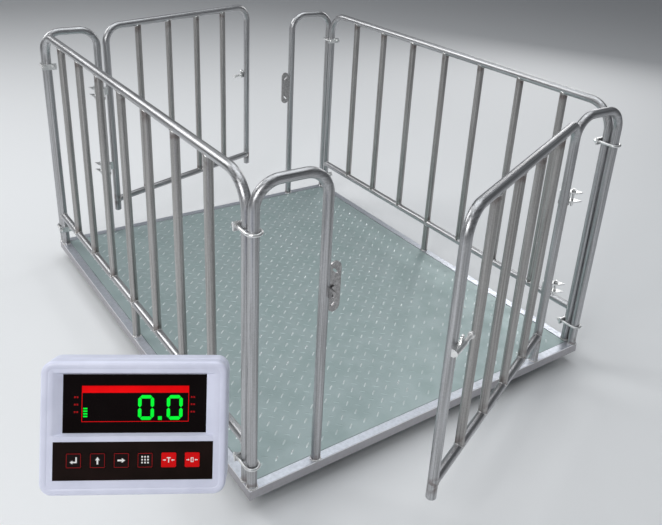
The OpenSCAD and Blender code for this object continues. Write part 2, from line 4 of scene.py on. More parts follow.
import bmesh
import bpy
import numpy as np
from mathutils import Matrix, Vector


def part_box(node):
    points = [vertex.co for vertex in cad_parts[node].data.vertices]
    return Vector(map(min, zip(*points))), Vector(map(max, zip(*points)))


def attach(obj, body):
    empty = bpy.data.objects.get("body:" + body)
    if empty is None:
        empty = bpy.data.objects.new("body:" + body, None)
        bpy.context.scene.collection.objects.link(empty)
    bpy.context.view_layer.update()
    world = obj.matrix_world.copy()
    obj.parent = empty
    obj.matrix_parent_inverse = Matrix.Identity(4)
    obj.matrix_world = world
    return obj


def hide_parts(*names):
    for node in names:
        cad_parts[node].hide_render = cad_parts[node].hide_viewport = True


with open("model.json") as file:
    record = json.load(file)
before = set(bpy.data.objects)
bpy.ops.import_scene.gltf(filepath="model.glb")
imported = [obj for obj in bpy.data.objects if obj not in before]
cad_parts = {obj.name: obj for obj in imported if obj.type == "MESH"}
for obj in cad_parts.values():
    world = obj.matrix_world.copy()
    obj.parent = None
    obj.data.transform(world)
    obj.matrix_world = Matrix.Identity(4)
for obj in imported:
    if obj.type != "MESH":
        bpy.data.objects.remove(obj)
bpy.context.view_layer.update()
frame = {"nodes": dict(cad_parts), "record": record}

# ---------------------------------------------------------------- measures
# Everything is in metres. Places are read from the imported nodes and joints.


def span(node):
    """Lowest corner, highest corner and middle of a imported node."""
    low, high = (np.array(c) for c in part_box(node))
    return low, high, (low + high) / 2


def joint(name):
    """The record's joint of that name."""
    return next(j for j in frame["record"]["behaviour"]["joints"] if j["name"] == name)


fence_low, fence_high, fence_mid = span("right_fence_frame")
rail_low, rail_high, rail_mid = span("right_fence_rail")
loop_low, loop_high, _ = span("loop_front_right")
rim_high = span("base_rim")[1]
deck_high = span("deck_plate")[1]
floor_z = span("foot_pads")[0][2]

tube = (fence_high[0] - fence_low[0]) / 2
rail = (rail_high[2] - rail_low[2]) / 2
bar = rail - 0.0004
rim_z = rim_high[2]
top_z = fence_high[2] - tube
low_z = rail_mid[2]
fence_x = fence_mid[0]
post_y = fence_high[1] - tube
loop_y = loop_high[1] - tube if loop_high[1] > 0 else -loop_low[1] - tube
leg_x = loop_low[0] + tube
gate_foot = span("front_gate_frame")[0][2]

fence_bars = 7
gate_bars = 4
hinge_reach = 0.046
gate_offset = 0.010
gate_width = 2 * leg_x - hinge_reach - 0.044
bar_ys = [post_y * (2 * i / (fence_bars + 1) - 1) for i in range(1, fence_bars + 1)]
bar_xs = [-hinge_reach - gate_width * i / (gate_bars + 1) for i in range(1, gate_bars + 1)]
stile_xs = [-hinge_reach, -hinge_reach - gate_width]
open_angle = {end: -math.radians(joint(end + "_gate_hinge")["range_deg"][0]) for end in ("front", "back")}


def turned(angle, place=(0, 0, 0)):
    """A 4x4 matrix that turns about Z and then moves."""
    return np.array(Matrix.Translation(place) @ Matrix.Rotation(angle, 4, "Z"))


# the gate's own axes: X from the hinge leg outward is negative along the gate, Z up
gate_place = {
    "front": turned(open_angle["front"], (leg_x, -loop_y, 0)),
    "back": turned(math.pi + open_angle["back"], (-leg_x, loop_y, 0)),
}

# the indicator's own axes: X across the face, Y up the face, Z out of it
tilt = joint("indicator_tilt")
face_x = np.array(tilt["axis"])
face_z = -np.array(joint("key_1_press")["axis"])
face_y = np.cross(face_z, face_x)
pivot_depth = 0.078
face_place = np.eye(4)
face_place[:3, 0], face_place[:3, 1], face_place[:3, 2] = face_x, face_y, face_z
face_place[:3, 3] = np.array(tilt["pos_m"]) + face_z * pivot_depth

# ---------------------------------------------------------------- meshes


def moved(points, place):
    """Points turned and moved by a 4x4 matrix."""
    return points @ place[:3, :3].T + place[:3, 3]


def grid_quads(rows, cols, close_rows=False, close_cols=False):
    """Quads of a grid of points stored row by row; closed directions wrap round."""
    r = np.arange(rows if close_rows else rows - 1)
    c = np.arange(cols if close_cols else cols - 1)
    r0, c0 = np.meshgrid(r, c, indexing="ij")
    r1, c1 = (r0 + 1) % rows, (c0 + 1) % cols
    return np.stack([r0 * cols + c0, r0 * cols + c1, r1 * cols + c1, r1 * cols + c0], -1).reshape(-1, 4)


def repeat_quads(quads, points_each, count):
    """The same quads for each of count copies of a shape."""
    return (quads[None] + np.arange(count)[:, None, None] * points_each).reshape(-1, quads.shape[1])


def merged(shapes):
    """One (points, faces) from several, their faces kept as lists."""
    points, faces, start = [], [], 0
    for p, f in shapes:
        points.append(p)
        faces.extend((np.asarray(q) + start).tolist() for q in f)
        start += len(p)
    return np.concatenate(points), faces


def piece(name, shape, finish, body, smooth=True, recalculate=False):
    """Makes a mesh object from (points, faces), gives it a finish and rides it on a body."""
    points, faces = shape
    mesh = bpy.data.meshes.new(name)
    mesh.from_pydata(np.asarray(points).tolist(), [], [list(map(int, f)) for f in faces])
    mesh.validate()
    mesh.update()
    if smooth:
        mesh.polygons.foreach_set("use_smooth", np.ones(len(mesh.polygons), bool))
        mesh.set_sharp_from_angle(angle=math.radians(38))
    if recalculate:
        b = bmesh.new()
        b.from_mesh(mesh)
        bmesh.ops.remove_doubles(b, verts=b.verts, dist=1e-6)
        bmesh.ops.recalc_face_normals(b, faces=b.faces)
        b.to_mesh(mesh)
        b.free()
    mesh.materials.append(finish)
    thing = bpy.data.objects.new(name, mesh)
    bpy.context.scene.collection.objects.link(thing)
    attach(thing, body)
    return thing


def revolved(profile, sides=32):
    """A profile of (radius, height) pairs carried round Z; closed at each end by a single many-sided face."""
    profile = np.array(profile, float)
    a = np.linspace(0, 2 * np.pi, sides, endpoint=False)
    r, z = profile[:, 0, None], profile[:, 1, None]
    points = np.stack([r * np.cos(a), r * np.sin(a), z + 0 * a], -1).reshape(-1, 3)
    faces = list(grid_quads(len(profile), sides, close_cols=True))
    faces.append(np.arange(sides)[::-1])
    faces.append(np.arange(sides) + (len(profile) - 1) * sides)
    return points, faces


def corner_outline(width, height, radius, steps=10):
    """Centres and outward directions round a rectangle whose corners are quarter circles."""
    centres, ways = [], []
    for k, (sx, sy) in enumerate([(1, 1), (-1, 1), (-1, -1), (1, -1)]):
        a = np.pi / 2 * (k + np.linspace(0, 1, steps))
        ways.append(np.stack([np.cos(a), np.sin(a)], -1))
        centres.append(np.tile([sx * (width / 2 - radius), sy * (height / 2 - radius)], (steps, 1)))
    return np.concatenate(centres), np.concatenate(ways)


def framed(width, height, radius, profile, cap_first=False, cap_last=False, middle=(0, 0), steps=10):
    """A profile of (inset, height) pairs carried round a rectangle with round corners."""
    centres, ways = corner_outline(width, height, radius, steps)
    inset, z = (np.array(profile, float)[:, i, None, None] for i in (0, 1))
    flat = centres[None] + (radius - inset) * ways[None] + np.array(middle)
    points = np.concatenate([flat, z + 0 * flat[..., :1]], -1).reshape(-1, 3)
    n = len(centres)
    faces = list(grid_quads(len(profile), n, close_cols=True))
    if cap_first:
        faces.append(np.arange(n)[::-1])
    if cap_last:
        faces.append(np.arange(n) + (len(profile) - 1) * n)
    return points, faces


def slabs(outlines, low, high):
    """Flat polygons given by their corners in X and Y, each raised from low to high."""
    shapes = []
    for outline in outlines:
        flat = np.array(outline, float)
        n = len(flat)
        points = np.concatenate([np.c_[flat, np.full(n, low)], np.c_[flat, np.full(n, high)]])
        faces = list(grid_quads(2, n, close_cols=True))
        faces += [np.arange(n)[::-1], np.arange(n) + n]
        shapes.append((points, faces))
    return merged(shapes)


def weld_beads(places, branches, mains, branch_r, main_r, size=0.0019):
    """Bead round each branch tube where it meets a main tube.

    Round the branch by an angle a, the seam lies at radius branch_r and at height
    sqrt(main_r^2 - (branch_r sin a)^2) from the main tube's axis, or at no height on
    a flat face. The bead is a thin ring round that seam, with ripples along it."""
    rows, cols = 44, 8
    u, w = (np.array(d, float).reshape(-1, 1, 1, 3) for d in (branches, mains))
    c = np.array(places, float).reshape(-1, 1, 1, 3)
    v = np.cross(u, w)
    a = np.linspace(0, 2 * np.pi, rows, endpoint=False).reshape(1, -1, 1, 1)
    rise = np.sqrt(np.maximum(main_r ** 2 - (branch_r * np.sin(a)) ** 2, 0)) if main_r else 0 * a
    seam = c + branch_r * (np.cos(a) * w + np.sin(a) * v) + rise * u
    along = np.roll(seam, -1, 1) - np.roll(seam, 1, 1)
    along /= np.linalg.norm(along, axis=-1, keepdims=True)
    out = np.cos(a) * w + np.sin(a) * v
    out = out - (out * along).sum(-1, keepdims=True) * along
    out /= np.linalg.norm(out, axis=-1, keepdims=True)
    side = np.cross(along, out)
    b = np.linspace(0, 2 * np.pi, cols, endpoint=False).reshape(1, 1, -1, 1)
    shift = np.arange(len(c)).reshape(-1, 1, 1, 1) * 1.7
    r = size * (1 + 0.16 * np.sin(13 * a + shift) + 0.12 * np.sin(5 * a + 2 * shift))
    points = seam + r * (np.cos(b) * out + np.sin(b) * side)
    quads = repeat_quads(grid_quads(rows, cols, True, True), rows * cols, len(c))
    return points.reshape(-1, 3), quads


# ---------------------------------------------------------------- shader parts


class Shader:
    """A node tree being filled in: node() adds one, link() joins two sockets."""

    def __init__(self, tree):
        self.tree = tree

    def node(self, kind, inputs=(), **settings):
        n = self.tree.nodes.new(kind)
        for key, value in settings.items():
            setattr(n, key, value)
        for key, value in dict(inputs).items():
            socket = n.inputs[key]
            if isinstance(value, bpy.types.NodeSocket):
                self.tree.links.new(value, socket)
            else:
                socket.default_value = value
        return n

    def link(self, start, end):
        self.tree.links.new(start, end)

    def math(self, what, a, b=0.0, clamp=False):
        n = self.node("ShaderNodeMath", {0: a, 1: b}, operation=what, use_clamp=clamp)
        return n.outputs[0]

    def step(self, value, start, end):
        """0 before start and 1 after end, smooth between."""
        n = self.node("ShaderNodeMapRange", {"Value": value, "From Min": start, "From Max": end},
                      interpolation_type="SMOOTHSTEP")
        return n.outputs[0]

    def noise(self, vector, scale, detail=3.0, rough=0.5):
        values = {"Vector": vector, "Scale": scale, "Detail": detail, "Roughness": rough}
        return self.node("ShaderNodeTexNoise", values).outputs["Fac"]

    def stretch(self, vector, scale):
        return self.node("ShaderNodeMapping", {"Vector": vector, "Scale": scale}).outputs[0]

    def mix(self, factor, a, b):
        n = self.node("ShaderNodeMix", data_type="RGBA")
        for socket, value in ((n.inputs[0], factor), (n.inputs[6], a), (n.inputs[7], b)):
            if isinstance(value, bpy.types.NodeSocket):
                self.link(value, socket)
            elif socket.type == "RGBA":
                socket.default_value = (*value, 1)
            else:
                socket.default_value = value
        return n.outputs[2]

    def blend(self, factor, a, b):
        n = self.node("ShaderNodeMix", {0: factor, 2: a, 3: b}, data_type="FLOAT")
        return n.outputs[0]


def group(name, inputs, outputs):
    """An empty shader group with named sockets, and its Shader, input and output nodes."""
    tree = bpy.data.node_groups.new(name, "ShaderNodeTree")
    for label, kind, value in inputs:
        socket = tree.interface.new_socket(label, in_out="INPUT", socket_type="NodeSocket" + kind)
        if value is not None:
            socket.default_value = value
    for label, kind in outputs:
        tree.interface.new_socket(label, in_out="OUTPUT", socket_type="NodeSocket" + kind)
    s = Shader(tree)
    return s, s.node("NodeGroupInput").outputs, s.node("NodeGroupOutput").inputs


# Drawn tube: fine streaks along each length, a cloudy zinc bloom and the burnt
# colour beside welds. X runs along the rail, Z up the legs; above Rail Height
# the streaks turn to follow the rail.
s, given, result = group(
    "drawn_tube",
    [("Vector", "Vector", None), ("Rail Height", "Float", 0.7), ("Weld Low", "Float", 0.0),
     ("Weld High", "Float", 0.8), ("Dark", "Color", (0.2, 0.19, 0.19, 1)),
     ("Light", "Color", (0.6, 0.6, 0.6, 1))],
    [("Color", "Color"), ("Roughness", "Float"), ("Height", "Float")])
where = s.node("ShaderNodeSeparateXYZ", {0: given["Vector"]}).outputs
on_rail = s.step(where["Z"], s.math("SUBTRACT", given["Rail Height"], 0.05), given["Rail Height"])
leg_streak = s.noise(s.stretch(given["Vector"], (1, 1, 0.012)), 330, 3)
rail_streak = s.noise(s.stretch(given["Vector"], (0.012, 1, 1)), 330, 3)
streak = s.blend(on_rail, leg_streak, rail_streak)
bloom = s.noise(given["Vector"], 260, 4, 0.6)
patch = s.noise(s.stretch(given["Vector"], (1, 1, 0.12)), 18, 2)
tone = s.math("ADD", s.math("MULTIPLY", streak, 0.78), s.math("MULTIPLY", bloom, 0.22))
shade = s.mix(s.step(tone, 0.28, 0.72), given["Dark"], given["Light"])
shade = s.mix(s.math("MULTIPLY", s.step(patch, 0.5, 0.75), 0.22), shade, (0.36, 0.33, 0.32))
near_low = s.math("ABSOLUTE", s.math("SUBTRACT", where["Z"], given["Weld Low"]))
near_high = s.math("ABSOLUTE", s.math("SUBTRACT", where["Z"], given["Weld High"]))
near = s.math("MINIMUM", near_low, near_high)
burn = s.math("SUBTRACT", 1.0, s.step(near, 0.006, 0.034))
burn = s.math("MULTIPLY", burn, s.step(s.noise(given["Vector"], 55, 3), 0.38, 0.6))
shade = s.mix(s.math("MULTIPLY", burn, 0.62), shade, (0.16, 0.12, 0.11))
s.link(shade, result["Color"])
s.link(s.math("ADD", 0.24, s.math("MULTIPLY", tone, 0.3)), result["Roughness"])
s.link(tone, result["Height"])
drawn_tube = s.tree

# Zinc bloom for flat and turned hardware: cloudy patches and small scratches
s, given, result = group(
    "zinc_bloom",
    [("Vector", "Vector", None), ("Scale", "Float", 120.0), ("Dark", "Color", (0.5, 0.5, 0.5, 1)),
     ("Light", "Color", (0.8, 0.8, 0.8, 1)), ("Rough Low", "Float", 0.22), ("Rough High", "Float", 0.42)],
    [("Color", "Color"), ("Roughness", "Float"), ("Height", "Float")])
cloud = s.noise(given["Vector"], given["Scale"], 5, 0.6)
spark = s.node("ShaderNodeTexVoronoi", {"Vector": given["Vector"],
                                        "Scale": s.math("MULTIPLY", given["Scale"], 1.6)}).outputs["Distance"]
mixed = s.math("ADD", s.math("MULTIPLY", cloud, 0.75), s.math("MULTIPLY", spark, 0.25))
s.link(s.mix(s.step(mixed, 0.34, 0.66), given["Dark"], given["Light"]), result["Color"])
s.link(s.blend(s.step(mixed, 0.3, 0.7), given["Rough High"], given["Rough Low"]), result["Roughness"])
s.link(mixed, result["Height"])
zinc_bloom = s.tree

# Moulded grain: a fine even stipple with faint cloudiness of tone
s, given, result = group(
    "moulded_grain",
    [("Vector", "Vector", None), ("Tone", "Color", (0.5, 0.5, 0.5, 1)),
     ("Shade", "Color", (0.4, 0.4, 0.4, 1)), ("Grain", "Float", 1800.0), ("Rough", "Float", 0.4)],
    [("Color", "Color"), ("Roughness", "Float"), ("Height", "Float")])
stipple = s.noise(given["Vector"], given["Grain"], 2)
cloud = s.noise(given["Vector"], 22, 3)
s.link(s.mix(s.step(cloud, 0.3, 0.7), given["Shade"], given["Tone"]), result["Color"])
uneven = s.math("MULTIPLY", s.math("SUBTRACT", cloud, 0.5), 0.16)
s.link(s.math("ADD", given["Rough"], uneven), result["Roughness"])
s.link(stipple, result["Height"])
moulded_grain = s.tree


def finish(name, tree, values=(), turn=0.0, bump=0.15, depth=0.0002, **fixed):
    """A material whose colour, roughness and bump come from one group.

    What fixed names is set on the surface shader's own sockets."""
    m = bpy.data.materials.new(name)
    m.use_nodes = True
    s = Shader(m.node_tree)
    shader = m.node_tree.nodes["Principled BSDF"]
    for key, value in fixed.items():
        shader.inputs[key.replace("_", " ")].default_value = value
    coords = s.node("ShaderNodeTexCoord").outputs["Object"]
    if turn:
        coords = s.node("ShaderNodeMapping", {"Vector": coords, "Rotation": (0, 0, -turn)}).outputs[0]
    g = s.node("ShaderNodeGroup", node_tree=tree)
    s.link(coords, g.inputs["Vector"])
    for key, value in dict(values).items():
        g.inputs[key].default_value = (*value, 1) if isinstance(value, tuple) else value
    s.link(g.outputs["Color"], shader.inputs["Base Color"])
    s.link(g.outputs["Roughness"], shader.inputs["Roughness"])
    raised = s.node("ShaderNodeBump", {"Height": g.outputs["Height"], "Strength": bump, "Distance": depth})
    s.link(raised.outputs[0], shader.inputs["Normal"])
    return m


def opened(material):
    """A material's Shader, its surface shader node and its shader group."""
    nodes = material.node_tree.nodes
    return Shader(material.node_tree), nodes["Principled BSDF"], next(n for n in nodes if n.type == "GROUP")


def tube_finish(name, turn, low, high, rail_height=0.785, dark=(0.31, 0.31, 0.315),
                light=(0.62, 0.625, 0.64)):
    """Drawn tube turned to its run, with burnt bands at the heights low and high."""
    values = {"Rail Height": rail_height, "Weld Low": low, "Weld High": high, "Dark": dark, "Light": light}
    return finish(name, drawn_tube, values, turn=turn, bump=0.12, Metallic=1.0)


def metal(name, scale, dark, light, rough=(0.22, 0.42), bump=0.15, metallic=1.0):
    """Zinc bloom of one scale, between two tones and two roughnesses."""
    values = {"Scale": scale, "Dark": dark, "Light": light, "Rough Low": rough[0], "Rough High": rough[1]}
    return finish(name, zinc_bloom, values, bump=bump, Metallic=metallic)


def moulded(name, tone, shade, grain, rough, bump, **fixed):
    """Moulded grain between two tones."""
    values = {"Tone": tone, "Shade": shade, "Grain": grain, "Rough": rough}
    return finish(name, moulded_grain, values, bump=bump, **fixed)


along_y = math.pi / 2
no_weld = -1.0
gate_turn = {"front": open_angle["front"], "back": open_angle["back"]}
bar_dark, bar_light = (0.28, 0.272, 0.265), (0.54, 0.53, 0.52)

fence_tube = tube_finish("fence_tube", along_y, rim_z, no_weld)
fence_rail_tube = tube_finish("fence_rail_tube", along_y, no_weld, no_weld, rail_height=-1.0)
fence_bar_tube = tube_finish("fence_bar_tube", along_y, low_z + rail, top_z - tube, 2.0, bar_dark, bar_light)
loop_tube = tube_finish("loop_tube", 0.0, rim_z, no_weld)
gate_tube, gate_rail_tube, gate_bar_tube = {}, {}, {}
for end, angle in gate_turn.items():
    gate_tube[end] = tube_finish(end + "_gate_tube", angle, low_z, no_weld)
    gate_rail_tube[end] = tube_finish(end + "_gate_rail_tube", angle, no_weld, no_weld, rail_height=-1.0)
    gate_bar_tube[end] = tube_finish(end + "_gate_bar_tube", angle, low_z + rail, top_z - tube, 2.0,
                                     bar_dark, bar_light)

zinc = metal("bright_zinc", 110.0, (0.76, 0.77, 0.77), (0.90, 0.90, 0.89), (0.28, 0.38), 0.04, 0.9)
rod_steel = metal("bolt_rod", 80.0, (0.86, 0.86, 0.85), (0.93, 0.93, 0.92), (0.30, 0.38), 0.03, 0.7)
weld_metal = metal("weld_metal", 420.0, (0.42, 0.40, 0.40), (0.88, 0.88, 0.87), (0.22, 0.5), 0.5)
plate_steel = metal("plate_steel", 190.0, (0.34, 0.33, 0.33), (0.54, 0.53, 0.53), (0.3, 0.42))
under_steel = metal("under_steel", 45.0, (0.38, 0.39, 0.41), (0.58, 0.59, 0.60), (0.35, 0.55))
cell_alloy = metal("cell_alloy", 300.0, (0.66, 0.67, 0.68), (0.78, 0.79, 0.80), (0.3, 0.42))
grey_paint = moulded("grey_paint", (0.34, 0.35, 0.37), (0.29, 0.30, 0.32), 900.0, 0.38, 0.08)
shell_plastic = moulded("shell_plastic", (0.77, 0.79, 0.94), (0.71, 0.73, 0.88), 2600.0, 0.36, 0.06)
dark_plastic = moulded("dark_plastic", (0.022, 0.022, 0.024), (0.014, 0.014, 0.016), 1500.0, 0.45, 0.12)
rubber = moulded("foot_rubber", (0.03, 0.03, 0.03), (0.018, 0.018, 0.018), 1100.0, 0.8, 0.25)
window_gloss = moulded("window_gloss", (0.004, 0.002, 0.002), (0.003, 0.001, 0.001), 400.0, 0.12, 0.0,
                       Specular_IOR_Level=0.25)
panel_satin = moulded("panel_satin", (0.010, 0.003, 0.002), (0.006, 0.002, 0.001), 1700.0, 0.4, 0.05,
                      Specular_IOR_Level=0.15)
key_dark = moulded("key_dark", (0.010, 0.004, 0.004), (0.007, 0.003, 0.003), 1700.0, 0.4, 0.05,
                   Specular_IOR_Level=0.15)
key_red = moulded("key_red", (0.78, 0.001, 0.003), (0.70, 0.001, 0.002), 1700.0, 0.4, 0.05,
                  Specular_IOR_Level=0.2)
board_green = moulded("board_green", (0.02, 0.16, 0.06), (0.015, 0.12, 0.05), 600.0, 0.4, 0.1)


def lit(name, colour, strength):
    """A colour that glows a little from a faintly uneven surface: the lit display digits, and a painted glow
    on printed frames, legends and key signs.
    """
    dimmer = tuple(0.8 * v for v in colour)
    m = moulded(name, colour, dimmer, 900.0, 0.4, 0.0, Specular_IOR_Level=0.1)
    s, shader, g = opened(m)
    s.link(g.outputs["Color"], shader.inputs["Emission Color"])
    shader.inputs["Emission Strength"].default_value = strength
    return m


lit_green = lit("display_green", (0.0, 0.50, 0.02), 1.5)
# the red frame and legends are print on the window, and the key signs and outlines print on the keys: their
# glow is a painted glow
painted_glow_frame_red = lit("display_red", (0.46, 0.0, 0.001), 1.1)
painted_glow_legend_red = lit("legend_red", (0.30, 0.004, 0.006), 0.35)
painted_glow_key_print = lit("key_print", (0.82, 0.82, 0.80), 0.15)
painted_glow_key_outline = lit("panel_outline", (0.42, 0.01, 0.012), 0.15)


def rim_material():
    """Galvanised angle: cool on top, with a mauve-grey painted shade on its side faces, a painted highlight
    along their top edge, and mitred corners.
    """
    m = metal("rim_steel", 70.0, (0.68, 0.71, 0.77), (0.80, 0.83, 0.90), (0.34, 0.44), 0.04, 0.9)
    s, shader, g = opened(m)
    coords = s.node("ShaderNodeTexCoord").outputs["Object"]
    at = s.node("ShaderNodeSeparateXYZ", {0: coords}).outputs
    normal = s.node("ShaderNodeNewGeometry").outputs["True Normal"]
    facing = s.node("ShaderNodeSeparateXYZ", {0: normal}).outputs["Z"]
    # painted shade: faces that do not look up are darkened to a mauve-grey
    side = s.math("SUBTRACT", 1.0, s.step(facing, 0.3, 0.7))
    colour = s.mix(s.math("MULTIPLY", side, 0.8), g.outputs["Color"], (0.40, 0.375, 0.385))
    # painted highlight: a pale band just under the rim's top edge on its side faces
    edge = s.math("MULTIPLY", side, s.step(at["Z"], rim_z - 0.0050, rim_z - 0.0025))
    colour = s.mix(edge, colour, (0.95, 0.94, 0.97))
    in_x = s.math("SUBTRACT", rim_high[0], s.math("ABSOLUTE", at["X"]))
    in_y = s.math("SUBTRACT", rim_high[1], s.math("ABSOLUTE", at["Y"]))
    mitre = s.math("ABSOLUTE", s.math("SUBTRACT", in_x, in_y))
    mitre = s.math("SUBTRACT", 1.0, s.step(mitre, 0.0005, 0.0013))
    s.link(s.mix(s.math("MULTIPLY", mitre, 0.7), colour, (0.16, 0.15, 0.15)), shader.inputs["Base Color"])
    return m


def deck_material(name, tone, bright, rough):
    """Tread plate: matt grey-green with cloudy wear and fine rolling lines along its length."""
    m = metal(name, 9.0, tone, bright, (rough, rough + 0.12), 0.1, 0.45)
    s = Shader(m.node_tree)
    coords = s.node("ShaderNodeTexCoord").outputs["Object"]
    rolled = s.noise(s.stretch(coords, (1, 0.03, 1)), 420, 2)
    raised = next(n for n in m.node_tree.nodes if n.type == "BUMP")
    s.link(rolled, raised.inputs["Height"])
    return m


rim_steel = rim_material()
deck_steel = deck_material("tread_plate", (0.375, 0.47, 0.465), (0.455, 0.55, 0.55), 0.38)
# the marks along one diagonal get a lighter, glossier copy of the deck finish as a painted highlight; the
# cross marks keep the deck's own tone
painted_highlight_mark_steel = deck_material("tread_marks", (0.60, 0.68, 0.68), (0.80, 0.87, 0.87), 0.26)
cross_steel = deck_material("cross_marks", (0.37, 0.455, 0.455), (0.45, 0.54, 0.54), 0.42)

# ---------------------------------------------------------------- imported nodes

finishes = {
    "base_rim": rim_steel, "deck_plate": deck_steel, "long_beams": under_steel, "cross_beams": under_steel,
    "front_keeper": plate_steel, "back_keeper": plate_steel, "hinge_collars": plate_steel,
    "cell_spacers": under_steel, "foot_pads": rubber, "junction_box": dark_plastic,
    "bar_clamp": grey_paint, "swivel_fork": grey_paint, "swivel_arm": grey_paint, "tilt_bracket": grey_paint,
    "front_latch_rod": rod_steel, "back_latch_rod": rod_steel,
    "display_window": window_gloss, "display_board": board_green, "control_board": board_green,
    "key_panel": panel_satin, "battery": dark_plastic, "tilt_knobs": dark_plastic,
}
for side in ("left", "right"):
    finishes[side + "_fence_frame"] = fence_tube
    finishes[side + "_fence_rail"] = fence_rail_tube
    finishes[side + "_fence_bars"] = fence_bar_tube
    for end in ("front", "back"):
        finishes[f"loop_{end}_{side}"] = loop_tube
        finishes[f"load_cell_{end}_{side}"] = cell_alloy
for end in ("front", "back"):
    finishes[end + "_gate_frame"] = gate_tube[end]
    finishes[end + "_gate_rail"] = gate_rail_tube[end]
    finishes[end + "_gate_bars"] = gate_bar_tube[end]
for i in range(1, 7):
    finishes[f"key_{i}"] = key_dark if i < 5 else key_red
for name, thing in frame["nodes"].items():
    thing.data.materials.clear()
    thing.data.materials.append(finishes.get(name, zinc))

# ---------------------------------------------------------------- deck marks


mark_step = np.array([0.046, 0.041])
mark_margin = 0.014
mark_length, mark_width, mark_rise = 0.023, 0.0054, 0.0010
mark_sides = 12


def tread_marks(turn, shift):
    """Low lens-shaped marks on a grid that is moved by shift, all turned by one angle.

    A mark's height falls as 1 - s^2 from its middle to its outline, an ellipse at s = 1."""
    half = deck_high[:2] - mark_margin
    xs, ys = (np.arange(-h + m / 2 + d, h, m) for h, m, d in zip(half, mark_step, shift))
    middles = np.stack(np.meshgrid(xs, ys, indexing="ij"), -1).reshape(-1, 2)
    ring = np.array([1.0, 0.7, 0.35])[:, None]
    t = np.linspace(0, 2 * np.pi, mark_sides, endpoint=False)
    along, across = mark_length / 2 * ring * np.cos(t), mark_width / 2 * ring * np.sin(t)
    height = deck_high[2] - 0.0001 + mark_rise * (1 - ring ** 2) + 0 * t
    c, d = math.cos(turn), math.sin(turn)
    mark = np.stack([c * along - d * across, d * along + c * across, height], -1).reshape(1, -1, 3)
    points = mark + np.c_[middles, np.zeros(len(middles))][:, None]
    n = len(middles)
    each = len(ring) * mark_sides
    faces = [*repeat_quads(grid_quads(len(ring), mark_sides, close_cols=True), each, n),
             *repeat_quads(np.arange(each - mark_sides, each)[None], each, n),
             *repeat_quads(np.arange(mark_sides)[::-1][None], each, n)]
    return points.reshape(-1, 3), faces


diagonal = math.atan2(mark_step[1], mark_step[0])
# the diagonal set carries the painted highlight, the cross set stays plain
piece("tread_marks", tread_marks(diagonal, (0, 0)), painted_highlight_mark_steel, "platform")
piece("cross_marks", tread_marks(-diagonal, mark_step / 2), cross_steel, "platform")

# ---------------------------------------------------------------- welds

up, down, ahead, behind = (0, 0, 1), (0, 0, -1), (0, 1, 0), (0, -1, 0)
right, left = (1, 0, 0), (-1, 0, 0)
foot_bead = 0.0026


def fence_welds():
    """Beads of both fences and of all the posts' and loops' feet."""
    shapes = []
    for x in (-fence_x, fence_x):
        tops = [(x, y, top_z) for y in bar_ys]
        lows = [(x, y, low_z) for y in bar_ys]
        n = len(bar_ys)
        shapes.append(weld_beads(tops, [down] * n, [ahead] * n, bar, tube))
        shapes.append(weld_beads(lows, [up] * n, [ahead] * n, bar, rail))
        shapes.append(weld_beads([(x, 0, low_z)], [down], [ahead], bar, rail))
        ends = [(x, -post_y, low_z), (x, post_y, low_z)]
        shapes.append(weld_beads(ends, [ahead, behind], [up] * 2, rail, tube))
        feet = [(x, s * post_y, rim_z) for s in (-1, 1)]
        feet += [(x, s * loop_y, rim_z) for s in (-1, 1)]
        feet += [(math.copysign(leg_x, x), s * loop_y, rim_z) for s in (-1, 1)]
        shapes.append(weld_beads(feet, [up] * 6, [ahead] * 6, tube, 0, foot_bead))
        shapes.append(weld_beads([(x, 0, rim_z)], [up], [ahead], bar, 0, foot_bead))
    return merged(shapes)


def gate_welds(end):
    """Beads of one gate, made about its own axes and then put in place."""
    y = -gate_offset
    n = len(bar_xs)
    shapes = [weld_beads([(x, y, top_z) for x in bar_xs], [down] * n, [right] * n, bar, tube),
              weld_beads([(x, y, low_z) for x in bar_xs], [up] * n, [right] * n, bar, rail),
              weld_beads([(x, y, low_z) for x in stile_xs], [left, right], [up] * 2, rail, tube)]
    points, faces = merged(shapes)
    return moved(points, gate_place[end]), faces


def stile_caps(end):
    """Caps that close one gate's stiles at their feet: a dished profile spun round each stile."""
    profile = [(0.0002, -0.0045), (0.005, -0.0042), (0.0095, -0.0026), (0.0121, 0.0),
               (tube + 0.0002, 0.002), (tube + 0.0002, 0.006), (0.0118, 0.007)]
    cap, faces = revolved(profile)
    points, faces = merged([(cap + (x, -gate_offset, gate_foot), faces) for x in stile_xs])
    return moved(points, gate_place[end]), faces


piece("platform_welds", fence_welds(), weld_metal, "platform")
for end in ("front", "back"):
    piece(end + "_gate_welds", gate_welds(end), weld_metal, end + "_gate")
    piece(end + "_stile_caps", stile_caps(end), gate_tube[end], end + "_gate")

# ---------------------------------------------------------------- indicator

shell_w, shell_h, shell_r = 0.300, 0.220, 0.021
split, back = -0.026, -0.062
lug_gap, lug_t, lug_r = 0.022, 0.012, 0.010
face_edge_r, back_edge_r = 0.006, 0.007


def quarter(radius):
    """Inward and downward steps of a quarter circle, from its top to its side."""
    a = np.linspace(0, math.pi / 2, 8)
    return [(radius * (1 - math.sin(v)), radius * (1 - math.cos(v))) for v in a]


def front_rim():
    """The front shell's side, rounded outer edge, broad soft band and inner lip."""
    fillet = [(inset, -drop) for inset, drop in quarter(face_edge_r)]
    profile = [(0.004, split), (0.0006, split), (0.0006, split + 0.0008), (0.0, split + 0.0014)]
    profile += fillet[::-1] + [(0.0085, 0.0), (0.0112, -0.0003), (0.0122, -0.0010), (0.0126, -0.0030)]
    return framed(shell_w, shell_h, shell_r, profile)


